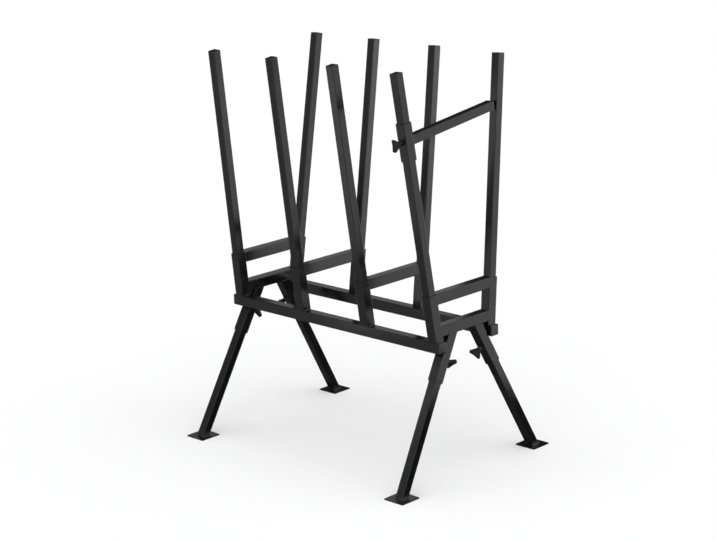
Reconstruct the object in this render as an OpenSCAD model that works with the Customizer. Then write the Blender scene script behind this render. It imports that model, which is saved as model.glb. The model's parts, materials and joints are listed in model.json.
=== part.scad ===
// Log saw stand made of square steel tube.
// Two rails carry four cradles: posts with plug-in uprights and a log rest between them.
// A hold-down bar slides on the last front upright, and four legs telescope out of sleeves.
// X runs along the rails, the front is at -Y, +Z is up and the floor is at Z = 0.

/* [Tube stock] */
// Outside width of the square frame tube
frame_tube = 30; // [26:0.5:36]
// Wall of the frame tube
frame_wall = 2; // [1.5:0.1:2.5]
// Gap on each side of a tube that slides in the frame tube
slide_clearance = 0.5; // [0.2:0.1:0.8]
// Wall of the smaller tube that slides in the frame tube
insert_wall = 1.5; // [1:0.1:2]
// Outside corner radius of every tube
corner_r = 2; // [1:0.25:3]

/* [Base frame] */
// Distance between the centre lines of the two rails
rail_spacing = 213; // [180:1:280]
// Height of the top face of the rails
rail_top = 392; // [330:1:460]
// Length of rail that stands out past each end post
rail_overhang = 7; // [4:1:40]
// Gap between the top of the rails and the end crossbars
crossbar_lift = 11; // [2:1:20]

/* [Cradles] */
// Spacing of the cradles along the rails
cradle_pitch = 250; // [180:1:320]
// Outward lean of the posts and uprights, in degrees
lean = 7.4; // [4:0.1:11]
// Inward tilt of the flat frames at the two ends, legs included, in degrees
end_tilt = 2.5; // [0:0.1:5]
// Inward tilt of the two middle cradles, in degrees
mid_tilt = 0.8; // [0:0.1:3]
// Height of the log rests' top face above the rails
rest_rise = 131; // [100:1:180]
// Length of one upright tube
upright_len = 730; // [680:5:900]

/* [Legs] */
// Angle between a leg and the upright line of its end frame, in degrees
leg_splay = 28.8; // [24:0.2:33]
// Length of a leg sleeve, along its axis from the crossbar
sleeve_len = 138; // [125:1:170]
// Length of leg inside its sleeve
leg_insertion = 98; // [85:1:110]
// Smallest weld gap between a leg sleeve and the lower edge of its rail
sleeve_gap = 0.3; // [0.2:0.1:0.9]
// Width of a square foot plate
plate_w = 67; // [50:1:90]
// Thickness of a foot plate
plate_t = 3; // [2:0.5:6]

/* [Hold-down] */
// Distance of the hold-down's middle from the foot of its upright
hold_height = 550; // [450:1:600]
// Length of the sleeve that slides on the upright
hold_sleeve_len = 102; // [80:1:140]
// Height of the bar above the middle of the sleeve
bar_rise = 1.5; // [-15:0.5:15]
// Gap between the bar's end and the upright across from it
bar_gap = 7; // [5:0.5:40]

/* [Wing screws] */
// Diameter of the clamping screws
screw_d = 8; // [6:0.5:10]
// Distance of a leg's screw from the open end of its sleeve
leg_screw_pos = 67; // [58:1:70]
// Height of the hold-down's screw above the middle of its sleeve
hold_screw_rise = 2; // [-20:1:20]
// Width of a weld nut across its flats
nut_flats = 13; // [13:0.5:17]
// Height of a weld nut
nut_h = 6.5; // [5:0.5:9]
// Gap between a weld nut and the wing knob above it
knob_gap = 2; // [1:0.5:6]
// Diameter of the knob's hub
hub_d = 14; // [13:0.5:18]
// Height of the knob's hub
hub_h = 16; // [13:0.5:20]
// Width over both wings
wing_span = 34; // [30:1:46]
// Height of the wings
wing_h = 25; // [21:1:30]
// Thickness of the wings
wing_t = 10; // [6:0.5:11]
// Depth of the shallow dip between the wings
wing_dip = 1; // [0.5:0.5:6]
// Radius of the wings' round root
wing_root_r = 6; // [4:0.5:6.5]
// Height of the root's lowest point above the foot of the hub
wing_lift = 1; // [0.5:0.5:2]
// Radius of the rounded wing tips
wing_tip_r = 3; // [2.5:0.5:5]
// Depth of the screw in the knob
screw_in_knob = 11; // [8:0.5:12]
// Gap between a screw's tip and the tube that it clamps
tip_gap = 0.3; // [0.2:0.1:0.5]

/* [Plugs and caps] */
// Thickness of the head of a plug or cap
plug_head = 3; // [2:0.5:5]
// Chamfer around the head
plug_chamfer = 1; // [0.5:0.1:1.5]
// Depth of a plug or cap in its tube
plug_depth = 15; // [8:1:25]
// Gap between a plug and the walls of its tube
plug_gap = 0.1; // [0.05:0.05:0.3]

/* [Hidden] */
$fn = 48;
cradle_count = 4;
ROWS = ["front", "back"];
ENDS = ["left", "right"];
// Height of each leg's screw above leg_screw_pos, by row and by end
SCREW_SHIFTS = [[6, -4], [10, 0]];
// Turn of each leg's wing knob about its screw, by row and by end, and that of the hold-down's
KNOB_TURNS = [[46, 141], [68, 140]];
HOLD_KNOB_TURN = 86;

PAINT = [0.13, 0.13, 0.14];
PLASTIC = [0.05, 0.05, 0.055];
ZINC = [0.55, 0.55, 0.53];

// Gaps around a screw: in its nut, in a tube's wall and in its knob
thread_gap = 0.05;
hole_gap = 0.5;
knob_bore_gap = 0.05;
// Smallest radius of an inside tube corner
min_inner_r = 0.4;
// Spare length of a cut, so that it passes right through
spare = 2 * frame_tube;

insert_tube = frame_tube - 2 * frame_wall - 2 * slide_clearance;
end_x = (cradle_count - 1) / 2 * cradle_pitch;
rail_len = 2 * (end_x + frame_tube / 2 + rail_overhang);
// Length of a post whose inner top edge is level with the log rest
post_len = (rest_rise - frame_tube / 2 * sin(lean)) / cos(lean);

// Heights in an end frame, from the top of the rails down its tilted plane
foot_level = (plate_t - rail_top) / cos(end_tilt);
rail_edge_level = -frame_tube / cos(end_tilt) - frame_tube / 2 * tan(end_tilt);
// A sleeve lies against the rounded lower edge of its rail, closer than against a sharp edge
edge_relief = corner_r * (cos(leg_splay) + sin(leg_splay) - 1);
sleeve_offset = (frame_tube / 2 + sleeve_gap - edge_relief) / cos(leg_splay);
// Distance of a leg's axis from the middle plane: at the crossbar, and at the foot
leg_top_y = rail_spacing / 2 - frame_tube / 2 - sleeve_offset
            - (crossbar_lift - rail_edge_level) * tan(leg_splay);
foot_y = leg_top_y + (crossbar_lift - foot_level) * tan(leg_splay);
foot_x = end_x - foot_level * sin(end_tilt);
// Length of a leg's axis from the crossbar to the foot plate
leg_reach = (crossbar_lift - foot_level) / cos(leg_splay);

hold_mid = upright_foot(cradle_count) + hold_height;
bar_mid = hold_mid + bar_rise;
// Distance from the upright's axis to the end of the bar, where its lower edge keeps bar_gap
bar_reach = (rail_spacing * cos(lean) + (bar_mid - insert_tube / 2) * sin(2 * lean)
             - insert_tube / 2 - bar_gap) / cos(2 * lean);

screw_tip = tip_gap - frame_wall - slide_clearance;
knob_base = nut_h + knob_gap;

function row_sign(row) = row == "front" ? -1 : 1;
function end_sign(end) = end == "left" ? -1 : 1;
function by_corner(table, row, end) = table[row == "front" ? 0 : 1][end == "left" ? 0 : 1];
function end_cradle(end) = end == "left" ? 1 : cradle_count;
function cradle_x(i) = (i - 1) * cradle_pitch - end_x;
function tilt_size(i) = i == 1 || i == cradle_count ? end_tilt : mid_tilt;
// Height along its axis at which an upright's lowest corner stands on the rail
function upright_foot(i) = insert_tube / 2 * (tan(lean) + tan(tilt_size(i)) / cos(lean));
// Distance from the middle plane to the inner face of a post, at a height above the rails
function post_inner_y(h) = rail_spacing / 2 + h * tan(lean) - frame_tube / 2 / cos(lean);

module rounded_square(size, r) {
    square([size - 2 * r, size], center = true);
    square([size, size - 2 * r], center = true);
    for (x = [-1, 1], y = [-1, 1]) {
        translate([x, y] * (size / 2 - r)) circle(r);
    }
}

module tube(size, wall, length) {
    linear_extrude(length) difference() {
        rounded_square(size, corner_r);
        rounded_square(size - 2 * wall, max(corner_r - wall, min_inner_r));
    }
}

// Plug for the end of a tube: its head starts at Z = 0 and its spigot reaches down into the tube
module tube_plug(size, wall) {
    linear_extrude(plug_head - plug_chamfer) rounded_square(size, corner_r);
    translate([0, 0, plug_head - plug_chamfer])
        linear_extrude(plug_chamfer, scale = 1 - 2 * plug_chamfer / size)
            rounded_square(size, corner_r);
    translate([0, 0, -plug_depth])
        linear_extrude(plug_depth)
            rounded_square(size - 2 * wall - 2 * plug_gap, max(corner_r - wall, min_inner_r));
}

// Flat bar between two round ends
module round_link(p1, r1, p2, r2) {
    d = p2 - p1;
    heading = atan2(d[1], d[0]);
    spread = acos((r1 - r2) / norm(d));
    n1 = [cos(heading + spread), sin(heading + spread)];
    n2 = [cos(heading - spread), sin(heading - spread)];
    translate(p1) circle(r1);
    translate(p2) circle(r2);
    polygon([p1 + r1 * n1, p2 + r2 * n1, p2 + r2 * n2, p1 + r1 * n2]);
}

// Frame of a cradle: its YZ plane tilts towards the middle, from the top of the rails
module cradle_frame(i) {
    translate([cradle_x(i), 0, rail_top])
        rotate([0, -sign(cradle_x(i)) * tilt_size(i), 0])
            children();
}

// Frame of a post and its upright: Z runs up the axis from the top of the rail
module post_frame(row, i) {
    cradle_frame(i)
        translate([0, row_sign(row) * rail_spacing / 2, 0])
            rotate([-row_sign(row) * lean, 0, 0])
                children();
}

// Frame of a leg: Z runs up the axis, and Z = 0 is at the underside of the crossbar
module leg_frame(row, end) {
    cradle_frame(end_cradle(end))
        translate([0, row_sign(row) * leg_top_y, crossbar_lift])
            rotate([row_sign(row) * leg_splay, 0, 0])
                children();
}

// Frame of a leg's screw: Z points out of the sleeve's inner face
module leg_screw_frame(row, end) {
    height = leg_screw_pos + by_corner(SCREW_SHIFTS, row, end) - sleeve_len;
    leg_frame(row, end)
        translate([0, -row_sign(row) * frame_tube / 2, height])
            rotate([row_sign(row) * 90, 0, 0])
                children();
}

// Frame of the hold-down: Z runs up the last front upright, Y points across the cradle
module hold_frame() {
    post_frame("front", cradle_count) children();
}

// Frame of the hold-down's screw: Z points out of the sleeve's front face
module hold_screw_frame() {
    hold_frame()
        translate([0, -frame_tube / 2, hold_mid + hold_screw_rise])
            rotate([90, 0, 0])
                children();
}

module rail(row) {
    color(PAINT)
        translate([-rail_len / 2, row_sign(row) * rail_spacing / 2, rail_top - frame_tube / 2])
            rotate([90, 0, 90])
                tube(frame_tube, frame_wall, rail_len);
}

module rail_plugs() {
    color(PLASTIC)
        for (row = ROWS, end = ENDS) {
            translate([0, row_sign(row) * rail_spacing / 2, rail_top - frame_tube / 2])
                rotate([0, end_sign(end) * 90, 0])
                    translate([0, 0, rail_len / 2])
                        tube_plug(frame_tube, frame_wall);
        }
}

// Tube across a cradle, cut to the leaning inner faces of its two posts
module between_posts(i, h) {
    low = h - spare;
    high = h + frame_tube + spare;
    cradle_frame(i) intersection() {
        translate([0, rail_spacing, h + frame_tube / 2])
            rotate([90, 0, 0])
                tube(frame_tube, frame_wall, 2 * rail_spacing);
        rotate([90, 0, 90])
            translate([0, 0, -spare])
                linear_extrude(2 * spare)
                    polygon([
                        [-post_inner_y(low), low],
                        [post_inner_y(low), low],
                        [post_inner_y(high), high],
                        [-post_inner_y(high), high]
                    ]);
    }
}

module crossbar(end) {
    color(PAINT) between_posts(end_cradle(end), crossbar_lift);
}

module log_rest(i) {
    color(PAINT) between_posts(i, rest_rise - frame_tube);
}

module post(row, i) {
    color(PAINT) difference() {
        post_frame(row, i)
            translate([0, 0, -spare])
                tube(frame_tube, frame_wall, post_len + spare);
        translate([cradle_x(i) - spare, row_sign(row) * rail_spacing / 2 - spare, rail_top - 2 * spare])
            cube(2 * spare);
    }
}

module upright(row, i) {
    color(PAINT)
        post_frame(row, i)
            translate([0, 0, upright_foot(i)])
                tube(insert_tube, insert_wall, upright_len);
}

module upright_cap(row, i) {
    color(PLASTIC)
        post_frame(row, i)
            translate([0, 0, upright_foot(i) + upright_len])
                tube_plug(insert_tube, insert_wall);
}

// Hole in a tube's wall for a screw whose axis is Z
module screw_hole() {
    translate([0, 0, -2 * frame_wall]) cylinder(r = screw_d / 2 + hole_gap, h = 4 * frame_wall);
}

module leg_sleeve(row, end) {
    color(PAINT) difference() {
        leg_frame(row, end)
            translate([0, 0, -sleeve_len])
                tube(frame_tube, frame_wall, sleeve_len + spare);
        cradle_frame(end_cradle(end))
            translate([-spare, -rail_spacing, crossbar_lift])
                cube([2 * spare, 2 * rail_spacing, 2 * spare]);
        leg_screw_frame(row, end) screw_hole();
    }
}

module leg(row, end) {
    color(PAINT) difference() {
        leg_frame(row, end)
            translate([0, 0, -leg_reach - spare])
                tube(insert_tube, insert_wall, spare + leg_reach - sleeve_len + leg_insertion);
        translate([end_sign(end) * foot_x, row_sign(row) * foot_y, plate_t - spare])
            cube([4 * spare, 4 * spare, 2 * spare], center = true);
    }
}

module foot_plate(row, end) {
    color(PAINT)
        translate([end_sign(end) * foot_x, row_sign(row) * foot_y, 0])
            linear_extrude(plate_t)
                rounded_square(plate_w, corner_r);
}

module weld_nut() {
    color(PAINT) difference() {
        cylinder(d = nut_flats / cos(30), h = nut_h, $fn = 6);
        translate([0, 0, -nut_h]) cylinder(r = screw_d / 2 + thread_gap, h = 3 * nut_h);
    }
}

module leg_nuts() {
    for (row = ROWS, end = ENDS) {
        leg_screw_frame(row, end) weld_nut();
    }
}

// One wing of a knob, with half of the web that joins the two
module wing() {
    root = [0, wing_lift + wing_root_r];
    tip = [wing_span / 2 - wing_tip_r, wing_h - wing_tip_r];
    round_link(root, wing_root_r, tip, wing_tip_r);
    polygon([root, tip, tip + [0, wing_tip_r], [0, wing_h - wing_dip]]);
}

// Moulded head of a wing screw, with a blind bore for the screw
module wing_knob(turn) {
    color(PLASTIC) translate([0, 0, knob_base]) rotate(turn) difference() {
        union() {
            cylinder(d = hub_d, h = hub_h);
            rotate([90, 0, 0]) translate([0, 0, -wing_t / 2]) linear_extrude(wing_t) {
                wing();
                mirror([1, 0]) wing();
            }
        }
        translate([0, 0, -screw_in_knob]) cylinder(r = screw_d / 2 + knob_bore_gap, h = 2 * screw_in_knob);
    }
}

module clamp_screw() {
    color(ZINC)
        translate([0, 0, screw_tip])
            cylinder(d = screw_d, h = knob_base + screw_in_knob - screw_tip);
}

module hold_down_sleeve() {
    color(PAINT) difference() {
        hold_frame()
            translate([0, 0, hold_mid - hold_sleeve_len / 2])
                tube(frame_tube, frame_wall, hold_sleeve_len);
        hold_screw_frame() screw_hole();
    }
}

module hold_down_bar() {
    color(PAINT)
        hold_frame()
            translate([0, frame_tube / 2, bar_mid])
                rotate([-90, 0, 0])
                    tube(insert_tube, insert_wall, bar_reach - plug_head - frame_tube / 2);
}

module hold_down_plug() {
    color(PLASTIC)
        hold_frame()
            translate([0, bar_reach - plug_head, bar_mid])
                rotate([-90, 0, 0])
                    tube_plug(insert_tube, insert_wall);
}

for (row = ROWS) {
    rail(row);
    for (i = [1 : cradle_count]) {
        post(row, i);
        upright(row, i);
        upright_cap(row, i);
    }
}
rail_plugs();
for (end = ENDS) {
    crossbar(end);
}
for (i = [1 : cradle_count]) {
    log_rest(i);
}
leg_nuts();
for (row = ROWS, end = ENDS) {
    turn = by_corner(KNOB_TURNS, row, end);
    corner = str(row, "_", end);
    leg_sleeve(row, end);
    leg(row, end);
    foot_plate(row, end);
    leg_screw_frame(row, end) wing_knob(turn);
    leg_screw_frame(row, end) clamp_screw();
}
hold_down_sleeve();
hold_down_bar();
hold_down_plug();
hold_screw_frame() weld_nut();  // hold_down_nut
hold_screw_frame() wing_knob(HOLD_KNOB_TURN);  // hold_down_knob
hold_screw_frame() clamp_screw();  // hold_down_screw
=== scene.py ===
"""Looks of the log saw stand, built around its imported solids.

Sizes are in millimetres, as in the part's source, and become metres where a mesh is made.
Angles are in degrees. X runs along the rails, the front is at -Y, +Z is up and the floor is at Z = 0.
"""
import itertools
import json
import math

import bmesh
import bpy
from mathutils import Matrix, Vector


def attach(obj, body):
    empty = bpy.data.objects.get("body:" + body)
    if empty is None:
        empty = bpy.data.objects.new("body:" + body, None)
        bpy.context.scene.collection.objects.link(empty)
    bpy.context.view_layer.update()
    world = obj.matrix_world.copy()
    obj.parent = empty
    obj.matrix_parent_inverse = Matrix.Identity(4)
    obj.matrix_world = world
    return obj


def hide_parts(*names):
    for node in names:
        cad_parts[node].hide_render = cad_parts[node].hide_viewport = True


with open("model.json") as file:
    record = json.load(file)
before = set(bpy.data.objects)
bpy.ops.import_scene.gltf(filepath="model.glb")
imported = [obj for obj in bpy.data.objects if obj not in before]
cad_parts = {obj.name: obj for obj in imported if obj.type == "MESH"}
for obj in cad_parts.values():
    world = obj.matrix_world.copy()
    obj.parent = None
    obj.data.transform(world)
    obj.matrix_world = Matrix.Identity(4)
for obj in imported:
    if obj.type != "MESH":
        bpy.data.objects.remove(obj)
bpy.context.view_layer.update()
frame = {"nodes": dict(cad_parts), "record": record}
scene = bpy.context.scene

MM = 0.001
ROWS = ("front", "back")
ENDS = ("left", "right")
CRADLES = (1, 2, 3, 4)
END_CRADLES = {"left": 1, "right": 4}
HOLD_CRADLE = END_CRADLES["right"]

# Sizes that the part's source gives
FRAME_TUBE = 30
FRAME_WALL = 2
INSERT_TUBE = 25
INSERT_WALL = 1.5
CORNER_R = 2
RAIL_SPACING = 213
RAIL_TOP = 392
RAIL_OVERHANG = 7
CROSSBAR_LIFT = 11
PITCH = 250
LEAN = 7.4
END_TILT = 2.5
MID_TILT = 0.8
REST_RISE = 131
UPRIGHT_LEN = 730
LEG_SPLAY = 28.8
SLEEVE_LEN = 138
SLEEVE_GAP = 0.3
LEG_SCREW_POS = 67
PLATE_T = 3
HOLD_HEIGHT = 550
BAR_RISE = 1.5
BAR_GAP = 7
HOLD_SCREW_RISE = 2
SCREW_D = 8
NUT_FLATS = 13
NUT_H = 6.5
KNOB_GAP = 2
SCREW_IN_KNOB = 11
TIP_GAP = 0.3
SLIDE_CLEARANCE = 0.5
HUB_D = 14
HUB_H = 16
WING_SPAN = 34
WING_H = 25
WING_T = 10
WING_DIP = 1
WING_ROOT_R = 6
WING_TIP_R = 3
WING_LIFT = 1
PLUG_HEAD = 3
PLUG_DEPTH = 15
PLUG_GAP = 0.1
SCREW_SHIFTS = {("front", "left"): 6, ("front", "right"): -4, ("back", "left"): 10, ("back", "right"): 0}
KNOB_TURNS = {("front", "left"): 46, ("front", "right"): 141, ("back", "left"): 68, ("back", "right"): 140}
HOLD_KNOB_TURN = 86


def sin(a):
    return math.sin(math.radians(a))


def cos(a):
    return math.cos(math.radians(a))


def tan(a):
    return math.tan(math.radians(a))


HALF = FRAME_TUBE / 2
END_X = 1.5 * PITCH
RAIL_LEN = 2 * (END_X + HALF + RAIL_OVERHANG)
FOOT_LEVEL = (PLATE_T - RAIL_TOP) / cos(END_TILT)
RAIL_EDGE = -FRAME_TUBE / cos(END_TILT) - HALF * tan(END_TILT)
EDGE_RELIEF = CORNER_R * (cos(LEG_SPLAY) + sin(LEG_SPLAY) - 1)
SLEEVE_OFFSET = (HALF + SLEEVE_GAP - EDGE_RELIEF) / cos(LEG_SPLAY)
LEG_TOP_Y = RAIL_SPACING / 2 - HALF - SLEEVE_OFFSET - (CROSSBAR_LIFT - RAIL_EDGE) * tan(LEG_SPLAY)
FOOT_Y = LEG_TOP_Y + (CROSSBAR_LIFT - FOOT_LEVEL) * tan(LEG_SPLAY)
FOOT_X = END_X - FOOT_LEVEL * sin(END_TILT)


def row_sign(row):
    return -1 if row == "front" else 1


def end_sign(end):
    return -1 if end == "left" else 1


def cradle_x(cradle):
    return (cradle - 1) * PITCH - END_X


def tilt_size(cradle):
    return END_TILT if cradle in END_CRADLES.values() else MID_TILT


def upright_foot(cradle):
    return INSERT_TUBE / 2 * (tan(LEAN) + tan(tilt_size(cradle)) / cos(LEAN))


def post_inner_y(height):
    return RAIL_SPACING / 2 + height * tan(LEAN) - HALF / cos(LEAN)


HOLD_MID = upright_foot(HOLD_CRADLE) + HOLD_HEIGHT
BAR_MID = HOLD_MID + BAR_RISE
BAR_REACH = (RAIL_SPACING * cos(LEAN) + (BAR_MID - INSERT_TUBE / 2) * sin(2 * LEAN)
             - INSERT_TUBE / 2 - BAR_GAP) / cos(2 * LEAN)
SCREW_TIP = TIP_GAP - FRAME_WALL - SLIDE_CLEARANCE
KNOB_BASE = NUT_H + KNOB_GAP


# Places of the pieces, as the part's source sets them

def shift(x, y, z):
    return Matrix.Translation((x, y, z))


def turn(angle, axis):
    return Matrix.Rotation(math.radians(angle), 4, axis)


def cradle_frame(cradle):
    x = cradle_x(cradle)
    tilt = tilt_size(cradle) if x < 0 else -tilt_size(cradle)
    return shift(x, 0, RAIL_TOP) @ turn(tilt, "Y")


def post_frame(row, cradle):
    s = row_sign(row)
    return cradle_frame(cradle) @ shift(0, s * RAIL_SPACING / 2, 0) @ turn(-s * LEAN, "X")


def leg_frame(row, end):
    s = row_sign(row)
    top = shift(0, s * LEG_TOP_Y, CROSSBAR_LIFT)
    return cradle_frame(END_CRADLES[end]) @ top @ turn(s * LEG_SPLAY, "X")


def leg_screw_frame(row, end):
    s = row_sign(row)
    height = LEG_SCREW_POS + SCREW_SHIFTS[row, end] - SLEEVE_LEN
    return leg_frame(row, end) @ shift(0, -s * HALF, height) @ turn(s * 90, "X")


def hold_frame():
    return post_frame("front", HOLD_CRADLE)


def hold_screw_frame():
    return hold_frame() @ shift(0, -HALF, HOLD_MID + HOLD_SCREW_RISE) @ turn(90, "X")


# Materials

def new_material(name):
    mat = bpy.data.materials.new(name)
    mat.use_nodes = True
    tree = mat.node_tree
    return mat, tree, tree.nodes["Principled BSDF"]


def object_coords(tree):
    return tree.nodes.new("ShaderNodeTexCoord").outputs["Object"]


def noise(tree, where, scale, detail=2.0, roughness=0.5):
    n = tree.nodes.new("ShaderNodeTexNoise")
    n.inputs["Scale"].default_value = scale
    n.inputs["Detail"].default_value = detail
    n.inputs["Roughness"].default_value = roughness
    tree.links.new(where, n.inputs["Vector"])
    return n.outputs["Fac"]


def remap(tree, value, low, high, start=0.3, end=0.7):
    n = tree.nodes.new("ShaderNodeMapRange")
    n.inputs["From Min"].default_value = start
    n.inputs["From Max"].default_value = end
    n.inputs["To Min"].default_value = low
    n.inputs["To Max"].default_value = high
    tree.links.new(value, n.inputs["Value"])
    return n.outputs["Result"]


def two_tone(tree, value, dark, light, start=0.35, end=0.65):
    n = tree.nodes.new("ShaderNodeValToRGB")
    n.color_ramp.elements[0].position = start
    n.color_ramp.elements[0].color = (*dark, 1)
    n.color_ramp.elements[1].position = end
    n.color_ramp.elements[1].color = (*light, 1)
    tree.links.new(value, n.inputs["Fac"])
    return n.outputs["Color"]


def bump(tree, height, strength, distance, normal=None):
    n = tree.nodes.new("ShaderNodeBump")
    n.inputs["Strength"].default_value = strength
    n.inputs["Distance"].default_value = distance
    tree.links.new(height, n.inputs["Height"])
    if normal is not None:
        tree.links.new(normal, n.inputs["Normal"])
    return n.outputs["Normal"]


def link_sockets(tree, bsdf, colour, roughness, normal):
    tree.links.new(colour, bsdf.inputs["Base Color"])
    tree.links.new(roughness, bsdf.inputs["Roughness"])
    tree.links.new(normal, bsdf.inputs["Normal"])


def powder_coat():
    """Glossy black powder coat: soft orange peel, uneven gloss and a slightly cloudy black."""
    mat, tree, bsdf = new_material("black_powder_coat")
    where = object_coords(tree)
    cloud = noise(tree, where, scale=14, detail=3)
    gloss = noise(tree, where, scale=33, detail=4)
    peel = noise(tree, where, scale=420, detail=2)
    grain = noise(tree, where, scale=1900, detail=1)
    colour = two_tone(tree, cloud, dark=(0.0035, 0.0035, 0.0037), light=(0.006, 0.006, 0.0064))
    roughness = remap(tree, gloss, low=0.11, high=0.18)
    peel_normal = bump(tree, peel, strength=0.22, distance=0.0003)
    normal = bump(tree, grain, strength=0.08, distance=0.0001, normal=peel_normal)
    link_sockets(tree, bsdf, colour, roughness, normal)
    return mat


def moulded_plastic(name, specular, low, high):
    """Black moulded plastic with a fine eroded grain. low and high bound its roughness."""
    mat, tree, bsdf = new_material(name)
    where = object_coords(tree)
    bsdf.inputs["Specular IOR Level"].default_value = specular
    grain = noise(tree, where, scale=1500, detail=3, roughness=0.6)
    cloud = noise(tree, where, scale=40, detail=2)
    colour = two_tone(tree, cloud, dark=(0.006, 0.006, 0.0063), light=(0.011, 0.011, 0.0115))
    roughness = remap(tree, grain, low, high)
    normal = bump(tree, grain, strength=0.3, distance=0.0002)
    link_sockets(tree, bsdf, colour, roughness, normal)
    return mat


def zinc_steel():
    """Zinc plated screw steel, a little streaky."""
    mat, tree, bsdf = new_material("zinc_steel")
    where = object_coords(tree)
    bsdf.inputs["Metallic"].default_value = 1.0
    streak = noise(tree, where, scale=260, detail=4, roughness=0.65)
    gloss = noise(tree, where, scale=700, detail=2)
    colour = two_tone(tree, streak, dark=(0.34, 0.34, 0.33), light=(0.5, 0.5, 0.48))
    roughness = remap(tree, gloss, low=0.26, high=0.42)
    normal = bump(tree, streak, strength=0.12, distance=0.0001)
    link_sockets(tree, bsdf, colour, roughness, normal)
    return mat


def pale_floor():
    mat, _, bsdf = new_material("pale_floor")
    bsdf.inputs["Base Color"].default_value = (0.88, 0.88, 0.88, 1)
    bsdf.inputs["Roughness"].default_value = 0.9
    bsdf.inputs["Specular IOR Level"].default_value = 0.0
    return mat


PAINT = powder_coat()
SCREW_STEEL = zinc_steel()
PLUG_PLASTIC = moulded_plastic("black_plug_plastic", specular=0.5, low=0.24, high=0.34)
KNOB_PLASTIC = moulded_plastic("black_knob_plastic", specular=0.14, low=0.34, high=0.46)
BY_SLOT = {"black_powder_coat": PAINT, "black_plastic": PLUG_PLASTIC, "zinc_steel": SCREW_STEEL}

for subpart in frame["record"]["subparts"]:
    node = frame["nodes"][subpart["node"]]
    if not node.data.materials:
        node.data.materials.append(None)
    for material_slot in node.material_slots:
        material_slot.material = BY_SLOT[subpart["material_slot"]]


# Mesh helpers

SHARP_EDGE = math.radians(38)


def make_piece(name, bm, matrix, body, mat, replaced=()):
    """Turns a mesh in millimetres into a piece that rides on a body."""
    bmesh.ops.recalc_face_normals(bm, faces=bm.faces)
    for face in bm.faces:
        face.smooth = True
    for edge in bm.edges:
        edge.smooth = len(edge.link_faces) != 2 or edge.calc_face_angle() < SHARP_EDGE
    bm.transform(Matrix.Scale(MM, 4) @ matrix)
    mesh = bpy.data.meshes.new(name)
    bm.to_mesh(mesh)
    bm.free()
    mesh.materials.append(mat)
    obj = bpy.data.objects.new(name, mesh)
    scene.collection.objects.link(obj)
    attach(obj, body)
    if replaced:
        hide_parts(*replaced)


def rounded_square(size, r, steps=5):
    """Points around a square with round corners."""
    h = size / 2 - r
    points = []
    for quarter, (x, y) in enumerate(((h, h), (-h, h), (-h, -h), (h, -h))):
        for k in range(steps + 1):
            a = 90 * quarter + 90 * k / steps
            points.append((x + r * cos(a), y + r * sin(a)))
    return points


def add_ring(bm, points):
    return [bm.verts.new(p) for p in points]


def bridge(bm, a, b):
    for k in range(len(a)):
        n = (k + 1) % len(a)
        bm.faces.new((a[k], a[n], b[n], b[k]))


def add_loft(bm, rings, closed_ends=True):
    made = [add_ring(bm, ring) for ring in rings]
    for a, b in zip(made, made[1:]):
        bridge(bm, a, b)
    if closed_ends:
        bm.faces.new(made[0])
        bm.faces.new(made[-1])
    return made


def moved(matrix, points):
    return [matrix @ Vector(p) for p in points]


def heading(matrix, v):
    return (matrix.to_3x3() @ Vector(v)).normalized()


# Plugs and caps: a domed head with a soft rim and a tapered spigot

SPIGOT_TAPER = 2
SPIGOT_SLACK = 0.2
SPIGOT_CORNER_R = 0.5
SPIGOT_TIP_R = 0.6
HEAD_SEAM = 0.02
HEAD_CHAMFER = 0.25
HEAD_SIDE = 1.5
RIM_R = 1.1
RIM_STEPS = 4
# Height, how much narrower than the head, and corner radius of each ring of the domed top
DOME = ((2.75, 5, CORNER_R), (2.9, 11, 2.2), (PLUG_HEAD, 18, 2.4))


def plug_rings(size, wall):
    """Height, width and corner radius of each ring, from the spigot's tip to the top of the head."""
    inside = size - 2 * wall - 2 * PLUG_GAP
    rings = [
        (-PLUG_DEPTH, inside - SPIGOT_TAPER, SPIGOT_TIP_R),
        (-PLUG_DEPTH + SPIGOT_TAPER, inside - SPIGOT_SLACK, SPIGOT_CORNER_R),
        (-HEAD_SEAM, inside - SPIGOT_SLACK, SPIGOT_CORNER_R),
        (0, size - 2 * HEAD_CHAMFER, CORNER_R),
        (HEAD_CHAMFER, size, CORNER_R),
        (HEAD_SIDE, size, CORNER_R),
    ]
    for k in range(1, RIM_STEPS + 1):
        a = 90 * k / RIM_STEPS
        rings.append((HEAD_SIDE + RIM_R * sin(a), size - 2 * RIM_R * (1 - cos(a)), CORNER_R))
    return rings + [(z, size - less, r) for z, less, r in DOME]


def plug_piece(name, size, wall, matrices, body, replaced):
    bm = bmesh.new()
    for m in matrices:
        rings = []
        for z, width, r in plug_rings(size, wall):
            rings.append(moved(m, [(x, y, z) for x, y in rounded_square(width, r)]))
        add_loft(bm, rings)
    make_piece(name, bm, Matrix.Identity(4), body, PLUG_PLASTIC, (replaced,))


rail_ends = []
for row in ROWS:
    for end in ENDS:
        middle = shift(0, row_sign(row) * RAIL_SPACING / 2, RAIL_TOP - HALF)
        rail_ends.append(middle @ turn(end_sign(end) * 90, "Y") @ shift(0, 0, RAIL_LEN / 2))
plug_piece("rail_end_plugs", FRAME_TUBE, FRAME_WALL, rail_ends, "frame", "rail_plugs")
for row in ROWS:
    for cradle in CRADLES:
        upright = f"{row}_upright_{cradle}"
        cap = f"{row}_upright_cap_{cradle}"
        top = post_frame(row, cradle) @ shift(0, 0, upright_foot(cradle) + UPRIGHT_LEN)
        plug_piece(f"{upright}_end_cap", INSERT_TUBE, INSERT_WALL, [top], upright, cap)
bar_end = hold_frame() @ shift(0, BAR_REACH - PLUG_HEAD, BAR_MID) @ turn(-90, "X")
plug_piece("hold_down_bar_end_plug", INSERT_TUBE, INSERT_WALL, [bar_end], "hold_down", "hold_down_plug")


# Weld beads: a rippled, slightly uneven bead along each joint

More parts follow.
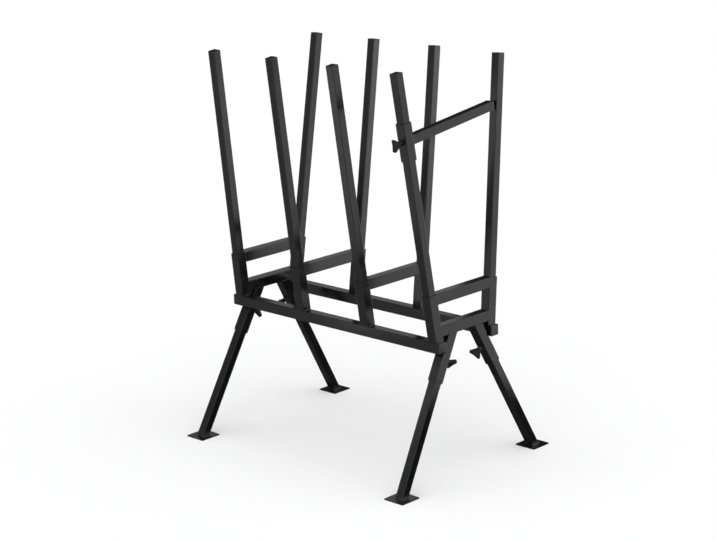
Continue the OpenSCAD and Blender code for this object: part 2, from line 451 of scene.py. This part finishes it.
RIPPLE = 1.7
RIPPLE_HEIGHT = 0.09
WAVE = 3.1
WAVE_HEIGHT = 0.06
BEAD_LEVEL = 0.95
BEAD_STEP = RIPPLE / 3
BEAD_SIDES = 9
BEAD_SKEW = 0.3
END_ROUNDING = 1.3
END_LEAST = 0.03
PHASE_STEP = 1.9
bead_numbers = itertools.count(1)

# Radii of the beads, and where they lie on the tubes
POST_BEAD = 2.5
FILLET_BEAD = 2.4
SEAM_BEAD = 1.25
RAIL_EDGE_BEAD = 2.7
FOOT_BEAD = 2.1
HOLD_BEAD = 2.0
TACK_BEAD = 1.3
BEAD_HALF = HALF - 2.2
BEAD_LIFT = 0.2
LOOP_LIFT = 0.1
SEAM_X = HALF - 0.95
SEAM_Y = 0.7
SEAM_END = 1
SLEEVE_SEAM_LIFT = 0.8
SLEEVE_SEAM_END = 1.5
RAIL_EDGE_INSET = 0.3


def dense(points, closed):
    """The same line with points about BEAD_STEP apart."""
    ends = points + points[:1] if closed else points
    line = []
    for a, b in zip(ends, ends[1:]):
        n = max(1, round((b - a).length / BEAD_STEP))
        line += [a.lerp(b, k / n) for k in range(n)]
    return line if closed else line + [points[-1]]


def add_bead(bm, points, radius, outward, closed=False):
    """outward points from the joint's corner into the open air, and sets how the ripples curve."""
    phase = PHASE_STEP * next(bead_numbers)
    line = dense([Vector(p) for p in points], closed)
    n = len(line)
    length = n * BEAD_STEP
    rings = []
    for k, p in enumerate(line):
        before = line[k - 1] if k or closed else p
        after = line[(k + 1) % n] if k < n - 1 or closed else p
        t = (after - before).normalized()
        out = outward(p) if callable(outward) else Vector(outward)
        u = (out - t * out.dot(t)).normalized()
        v = t.cross(u)
        s = k * BEAD_STEP
        ripple = RIPPLE_HEIGHT * abs(math.sin(math.pi * s / RIPPLE))
        wave = WAVE_HEIGHT * math.sin(s / WAVE + phase)
        r = radius * (BEAD_LEVEL + ripple + wave)
        if not closed:
            edge = min(s, length - BEAD_STEP - s) / (END_ROUNDING * radius)
            r *= math.sqrt(max(END_LEAST, 1 - (1 - min(1, edge)) ** 2))
        ring = []
        for q in range(BEAD_SIDES):
            a = 360 * q / BEAD_SIDES
            ring.append(p + u * r * cos(a) + v * r * sin(a) - t * BEAD_SKEW * r * cos(a))
        rings.append(ring)
    made = add_loft(bm, rings, closed_ends=not closed)
    if closed:
        bridge(bm, made[-1], made[0])


def add_fillet(bm, matrix, y, z, radius, outward):
    """A bead along X in the corner between two tubes."""
    add_bead(bm, moved(matrix, [(-BEAD_HALF, y, z), (BEAD_HALF, y, z)]), radius, heading(matrix, outward))


def add_seam(bm, matrix, start, end, side):
    """A flush bead between the edges of two tubes, on their -X or +X side."""
    add_bead(bm, moved(matrix, [start, end]), SEAM_BEAD, heading(matrix, (side, 0, 0)))


def away(centre, up):
    """For a bead around a tube or nut: heads outward from the centre, and up."""
    return lambda p: (p - centre).normalized() + up


def weld_piece(name, bm, body):
    make_piece(name, bm, Matrix.Identity(4), body, PAINT)


# Posts on the rails, across the rail on both sides of each post
bm = bmesh.new()
for row in ROWS:
    for cradle in CRADLES:
        y = row_sign(row) * RAIL_SPACING / 2
        z = RAIL_TOP + BEAD_LIFT
        for side in (-1, 1):
            x = cradle_x(cradle) + side * (HALF / cos(tilt_size(cradle)) + BEAD_LIFT)
            add_bead(bm, [(x, y - BEAD_HALF, z), (x, y + BEAD_HALF, z)], POST_BEAD, (side, 0, 1))
weld_piece("post_welds", bm, "frame")


def add_cross_welds(bm, cradle, low, fillet_above):
    """Welds at both ends of a tube between two posts. low is the height of its underside."""
    m = cradle_frame(cradle)
    high = low + FRAME_TUBE
    low_y = post_inner_y(low)
    high_y = post_inner_y(high)
    for s in (-1, 1):
        add_fillet(bm, m, s * low_y, low, FILLET_BEAD, (0, -s, -1))
        if fillet_above:
            add_fillet(bm, m, s * high_y, high, FILLET_BEAD, (0, -s, 1))
        for side in (-1, 1):
            x = side * SEAM_X
            start = (x, s * (low_y + SEAM_Y), low + SEAM_END)
            end = (x, s * (high_y + SEAM_Y), high - SEAM_END)
            add_seam(bm, m, start, end, side)


bm = bmesh.new()
for cradle in CRADLES:
    add_cross_welds(bm, cradle, REST_RISE - FRAME_TUBE, fillet_above=False)
weld_piece("log_rest_welds", bm, "frame")

bm = bmesh.new()
for cradle in END_CRADLES.values():
    add_cross_welds(bm, cradle, CROSSBAR_LIFT, fillet_above=True)
weld_piece("crossbar_welds", bm, "frame")


def add_sleeve_welds(bm, row, end):
    """Welds of a leg sleeve: under the crossbar, and on the rail's lower inner edge."""
    s = row_sign(row)
    m = cradle_frame(END_CRADLES[end])
    reach = HALF / cos(LEG_SPLAY)
    for side in (-1, 1):
        add_fillet(bm, m, s * (LEG_TOP_Y + side * reach), CROSSBAR_LIFT, FILLET_BEAD, (0, s * side, -1))
    inner_y = s * (LEG_TOP_Y - reach + SLEEVE_SEAM_END)
    outer_y = s * (LEG_TOP_Y + reach - SLEEVE_SEAM_END)
    z = CROSSBAR_LIFT + SLEEVE_SEAM_LIFT
    for side in (-1, 1):
        x = side * SEAM_X
        add_seam(bm, m, (x, inner_y, z), (x, outer_y, z), side)
    edge_y = s * (RAIL_SPACING / 2 - HALF + RAIL_EDGE_INSET)
    add_fillet(bm, m, edge_y, -FRAME_TUBE + BEAD_LIFT, RAIL_EDGE_BEAD, (0, -s, 1))


bm = bmesh.new()
for row in ROWS:
    for end in ENDS:
        add_sleeve_welds(bm, row, end)
weld_piece("leg_sleeve_welds", bm, "frame")

# Legs on their foot plates, and the hold-down bar on its sleeve
tube_section = rounded_square(INSERT_TUBE, CORNER_R, steps=2)
for row in ROWS:
    for end in ENDS:
        centre = Vector((end_sign(end) * FOOT_X, row_sign(row) * FOOT_Y, PLATE_T))
        cut = [(x / cos(END_TILT), y / cos(LEG_SPLAY), LOOP_LIFT) for x, y in tube_section]
        loop = [centre + Vector(p) for p in cut]
        bm = bmesh.new()
        add_bead(bm, loop, FOOT_BEAD, away(centre, Vector((0, 0, 1))), closed=True)
        weld_piece(f"{row}_{end}_foot_weld", bm, f"{row}_{end}_leg")

bar_start = hold_frame() @ shift(0, HALF, BAR_MID) @ turn(-90, "X")
loop = moved(bar_start, [(x, y, LOOP_LIFT) for x, y in tube_section])
bm = bmesh.new()
add_bead(bm, loop, HOLD_BEAD, away(bar_start.translation, heading(bar_start, (0, 0, 1))), closed=True)
weld_piece("hold_down_weld", bm, "hold_down")


# Weld nuts with chamfered corners, and their tack welds

NUT_STEPS = 72
NUT_LEVELS = (0, 0.5, 0.8, 0.86, 0.91, 0.96, 1)
NUT_TOP_R = 0.96 * NUT_FLATS / 2
NUT_CHAMFER = 30
BORE_R = SCREW_D / 2 + 0.05
BORE_CHAMFER = 0.6
TACK_R = 7.0
TACK_STARTS = (5, 125, 245)
TACK_SWEEP = 50
TACK_STEP = 5


def add_nut(bm, matrix):
    """A hexagon cut by a cone at its top corners, with a chamfered bore."""
    angles = [360 * k / NUT_STEPS for k in range(NUT_STEPS)]
    rings = []
    for level in NUT_LEVELS:
        z = NUT_H * level
        cone = NUT_TOP_R + (NUT_H - z) / tan(NUT_CHAMFER)
        rings.append([(min(NUT_FLATS / 2 / cos(a % 60 - 30), cone), a, z) for a in angles])
    for r, z in ((BORE_R + BORE_CHAMFER, NUT_H), (BORE_R, NUT_H - BORE_CHAMFER), (BORE_R, 0)):
        rings.append([(r, a, z) for a in angles])
    made = []
    for ring in rings:
        made.append(add_ring(bm, moved(matrix, [(r * cos(a), r * sin(a), z) for r, a, z in ring])))
    for a, b in zip(made, made[1:] + made[:1]):
        bridge(bm, a, b)


def add_tacks(bm, matrix):
    outward = away(matrix.translation, heading(matrix, (0, 0, 1)))
    for start in TACK_STARTS:
        angles = range(start, start + TACK_SWEEP + 1, TACK_STEP)
        line = [(TACK_R * cos(a), TACK_R * sin(a), LOOP_LIFT) for a in angles]
        add_bead(bm, moved(matrix, line), TACK_BEAD, outward)


def nut_pieces(nut_name, weld_name, matrices, body, replaced):
    nuts = bmesh.new()
    tacks = bmesh.new()
    for m in matrices:
        add_nut(nuts, m)
        add_tacks(tacks, m)
    make_piece(nut_name, nuts, Matrix.Identity(4), body, PAINT, (replaced,))
    weld_piece(weld_name, tacks, body)


leg_screws = [leg_screw_frame(row, end) for row in ROWS for end in ENDS]
nut_pieces("leg_weld_nuts", "leg_nut_welds", leg_screws, "frame", "leg_nuts")
nut_pieces("hold_down_weld_nut", "hold_down_nut_weld", [hold_screw_frame()], "hold_down", "hold_down_nut")


# Wing screws: a threaded stud and a moulded head

THREAD_DEPTH = 0.62
THREAD_LEAD = 1.25
FLANK_SLOPE = 2.4
CREST_SHARE = 0.1
STUD_SIDES = 18
RINGS_PER_TURN = 8
TIP_CUT = 1.0
TIP_LENGTH = 1.2
ROOT_STEPS = 5
TIP_STEPS = 10
DIP_STEPS = 6
HUB_SIDES = 24
# Height and diameter of each ring of the hub
HUB_RINGS = (
    (0.0, HUB_D - 2.0),
    (0.5, HUB_D - 1.0),
    (1.2, HUB_D),
    (HUB_H - 1.2, HUB_D),
    (HUB_H - 0.3, HUB_D - 1.2),
    (HUB_H, HUB_D - 3.5),
)
VOXEL = 0.55
SOFTEN_STEPS = 7


def stud_mesh():
    """Threaded stud with a chamfered tip, along Z from SCREW_TIP into the knob."""
    major = SCREW_D / 2
    length = KNOB_BASE + SCREW_IN_KNOB - SCREW_TIP
    n = round(length / THREAD_LEAD * RINGS_PER_TURN)
    rings = []
    for k in range(n + 1):
        z = SCREW_TIP + length * k / n
        taper = TIP_CUT * max(0, 1 - (z - SCREW_TIP) / TIP_LENGTH)
        ring = []
        for q in range(STUD_SIDES):
            share = (z / THREAD_LEAD - q / STUD_SIDES) % 1
            cut = min(1, max(0, FLANK_SLOPE * abs(share - 0.5) - CREST_SHARE))
            r = min(major - THREAD_DEPTH * cut, major - taper)
            a = 360 * q / STUD_SIDES
            ring.append((r * cos(a), r * sin(a), z))
        rings.append(ring)
    bm = bmesh.new()
    add_loft(bm, rings)
    return bm


def arc(centre, r, start, end, steps):
    angles = [start + (end - start) * k / steps for k in range(steps + 1)]
    return [centre + r * Vector((cos(a), sin(a))) for a in angles]


def wing_outline():
    """Both wings as one outline: a round root, straight flanks, round tips and a shallow dip."""
    reach = WING_SPAN / 2 - WING_TIP_R
    tip = Vector((reach, WING_H - WING_TIP_R))
    root = Vector((0, WING_LIFT + WING_ROOT_R))
    run = tip - root
    spread = math.degrees(math.acos((WING_ROOT_R - WING_TIP_R) / run.length))
    flank = math.degrees(math.atan2(run.y, run.x)) - spread
    right = arc(root, WING_ROOT_R, -90, flank, ROOT_STEPS)
    right += arc(tip, WING_TIP_R, flank, 90, TIP_STEPS)
    for k in range(1, DIP_STEPS + 1):
        x = reach * (1 - k / DIP_STEPS)
        right.append(Vector((x, WING_H - WING_DIP * (0.5 + 0.5 * math.cos(math.pi * x / reach)))))
    left = [Vector((-p.x, p.y)) for p in reversed(right[1:-1])]
    return right + left


def knob_mesh():
    """Moulded wing head, with soft edges and fillets, above Z = 0."""
    bm = bmesh.new()
    outline = wing_outline()
    stand_up = turn(90, "X")
    add_loft(bm, [moved(stand_up, [(x, y, z) for x, y in outline]) for z in (-WING_T / 2, WING_T / 2)])
    angles = [360 * k / HUB_SIDES for k in range(HUB_SIDES)]
    add_loft(bm, [[(d / 2 * cos(a), d / 2 * sin(a), z) for a in angles] for z, d in HUB_RINGS])
    bmesh.ops.recalc_face_normals(bm, faces=bm.faces)
    raw = bpy.data.meshes.new("knob_raw")
    bm.to_mesh(raw)
    bm.free()
    obj = bpy.data.objects.new("knob_raw", raw)
    scene.collection.objects.link(obj)
    remesh = obj.modifiers.new("remesh", "REMESH")
    remesh.mode = "VOXEL"
    remesh.voxel_size = VOXEL
    soften = obj.modifiers.new("soften", "SMOOTH")
    soften.factor = 0.5
    soften.iterations = SOFTEN_STEPS
    depsgraph = bpy.context.evaluated_depsgraph_get()
    mesh = bpy.data.meshes.new_from_object(obj.evaluated_get(depsgraph))
    bpy.data.objects.remove(obj)
    bpy.data.meshes.remove(raw)
    return mesh


knob = knob_mesh()


def wing_screw(name, matrix, angle, body, knob_node, screw_node):
    make_piece(f"{name}_stud", stud_mesh(), matrix, body, SCREW_STEEL, (screw_node,))
    head = bmesh.new()
    head.from_mesh(knob)
    place = matrix @ shift(0, 0, KNOB_BASE) @ turn(angle, "Z")
    make_piece(f"{name}_wing_head", head, place, body, KNOB_PLASTIC, (knob_node,))


for row in ROWS:
    for end in ENDS:
        corner = f"{row}_{end}"
        wing_screw(f"{corner}_leg", leg_screw_frame(row, end), KNOB_TURNS[row, end],
                   f"{corner}_wing_screw", f"{corner}_leg_knob", f"{corner}_leg_screw")
wing_screw("hold_down", hold_screw_frame(), HOLD_KNOB_TURN,
           "hold_down_wing_screw", "hold_down_knob", "hold_down_screw")
bpy.data.meshes.remove(knob)


# Floor and lights, in metres, and the camera

FLOOR_SIZE = 80.0
bm = bmesh.new()
bmesh.ops.create_grid(bm, x_segments=1, y_segments=1, size=FLOOR_SIZE / 2)
mesh = bpy.data.meshes.new("floor")
bm.to_mesh(mesh)
bm.free()
mesh.materials.append(pale_floor())
floor = bpy.data.objects.new("floor", mesh)
floor.visible_glossy = False
scene.collection.objects.link(floor)

scene.view_settings.view_transform = "Standard"

# Parts of the room by their direction from the stand. Each has a tone and limits, and a limit is
# an axis, the place on it where the tone is still 0 and the place where it is full
ROOM_PANELS = (
    (0.36, (("X", 0.3, -0.5), ("Y", 0.3, -0.3), ("Z", -0.85, -0.3), ("Z", 0.52, 0.34))),
    (0.44, (("X", -0.1, 0.4), ("Y", 0.1, -0.4), ("Z", -0.8, -0.4), ("Z", 0.6, 0.4))),
    (0.6, (("X", 0.1, -0.4), ("Y", -0.1, 0.4), ("Z", -0.8, -0.4), ("Z", 0.06, -0.06))),
    (0.5, (("X", -0.1, 0.4), ("Y", -0.1, 0.4), ("Z", -0.05, 0.1), ("Z", 0.8, 0.6))),
    (0.6, (("Y", -0.8, -0.93),)),
    (0.6, (("X", 0.8, 0.93),)),
    (0.6, (("Y", 0.8, 0.93),)),
    (0.6, (("X", -0.8, -0.93),)),
    (0.4, (("Z", -0.8, -0.95),)),
)
ROOM_TONE = 0.03
ROOM_COLOUR = (1, 1, 1.01, 1)

# Name, place, target, width, height and power of each card
SOFT_CARDS = (
    ("right_card", (1.05, 1.05, 0.63), (0.0, 0.0, 0.63), 1.7, 1.46, 7.5),
    ("right_accent", (0.933, 1.167, 0.63), (-0.067, 0.167, 0.63), 0.33, 1.46, 2.25),
    ("left_accent", (-0.89, -1.21, 0.52), (0.11, -0.21, 0.52), 0.22, 1.14, 0.67),
    ("back_card", (-1.26, 0.84, 0.82), (-0.26, -0.16, 0.82), 1.3, 0.75, 1.05),
)
SUN_STRENGTH = 3.12
SUN_SPREAD = 100
SUN_TILT = (8, 10, 0)


def math_node(tree, operation, a, b):
    n = tree.nodes.new("ShaderNodeMath")
    n.operation = operation
    tree.links.new(a, n.inputs[0])
    if isinstance(b, float):
        n.inputs[1].default_value = b
    else:
        tree.links.new(b, n.inputs[1])
    return n.outputs["Value"]


def studio_world():
    """A dim room with a few paler, soft-edged parts: one at each corner and side, and one below."""
    world = bpy.data.worlds.new("studio")
    world.use_nodes = True
    tree = world.node_tree
    way = tree.nodes.new("ShaderNodeSeparateXYZ")
    tree.links.new(tree.nodes.new("ShaderNodeTexCoord").outputs["Generated"], way.inputs["Vector"])
    total = None
    for tone, limits in ROOM_PANELS:
        share = None
        for axis, none, full in limits:
            limit = remap(tree, way.outputs[axis], low=0.0, high=1.0, start=none, end=full)
            share = limit if share is None else math_node(tree, "MULTIPLY", share, limit)
        panel = math_node(tree, "MULTIPLY", share, tone)
        total = math_node(tree, "ADD", panel, ROOM_TONE if total is None else total)
    background = tree.nodes["Background"]
    background.inputs["Color"].default_value = ROOM_COLOUR
    tree.links.new(total, background.inputs["Strength"])
    return world


def soft_card(name, place, target, width, height, power):
    """A softbox that the paint mirrors, but that leaves the floor alone."""
    light = bpy.data.lights.new(name, "AREA")
    light.shape = "RECTANGLE"
    light.size = width
    light.size_y = height
    light.energy = power
    lamp = bpy.data.objects.new(name, light)
    lamp.visible_camera = False
    lamp.visible_diffuse = False
    way = Vector(target) - Vector(place)
    lamp.matrix_world = Matrix.Translation(place) @ way.to_track_quat("-Z", "Y").to_matrix().to_4x4()
    scene.collection.objects.link(lamp)


scene.world = studio_world()
for card in SOFT_CARDS:
    soft_card(*card)

sun = bpy.data.lights.new("soft_top_light", "SUN")
sun.energy = SUN_STRENGTH
sun.angle = math.radians(SUN_SPREAD)
lamp = bpy.data.objects.new("soft_top_light", sun)
lamp.rotation_euler = [math.radians(a) for a in SUN_TILT]
scene.collection.objects.link(lamp)

# Camera fitted to the photograph's edges, with its distance and target in mm and focal length in pixels
AZIMUTH = 44.338
ELEVATION = 14.934
ROLL = -1.778
DISTANCE = 5535.654
TARGET = Vector((20.657, -30.62, 513.859))
IMAGE_WIDTH = 716
FOCAL_PX = 1989.348
SENSOR = 36.0
back_axis = Vector((sin(AZIMUTH) * cos(ELEVATION), -cos(AZIMUTH) * cos(ELEVATION), sin(ELEVATION)))
right_axis = Vector((cos(AZIMUTH), sin(AZIMUTH), 0))
up_axis = back_axis.cross(right_axis)
right_rolled = cos(ROLL) * right_axis + sin(ROLL) * up_axis
up_rolled = -sin(ROLL) * right_axis + cos(ROLL) * up_axis
lens = bpy.data.cameras.new("camera")
lens.sensor_width = SENSOR
lens.lens = SENSOR * FOCAL_PX / IMAGE_WIDTH
camera = bpy.data.objects.new("camera", lens)
spin = Matrix((right_rolled, up_rolled, back_axis)).transposed().to_4x4()
camera.matrix_world = Matrix.Translation((TARGET + back_axis * DISTANCE) * MM) @ spin
scene.collection.objects.link(camera)
scene.camera = camera
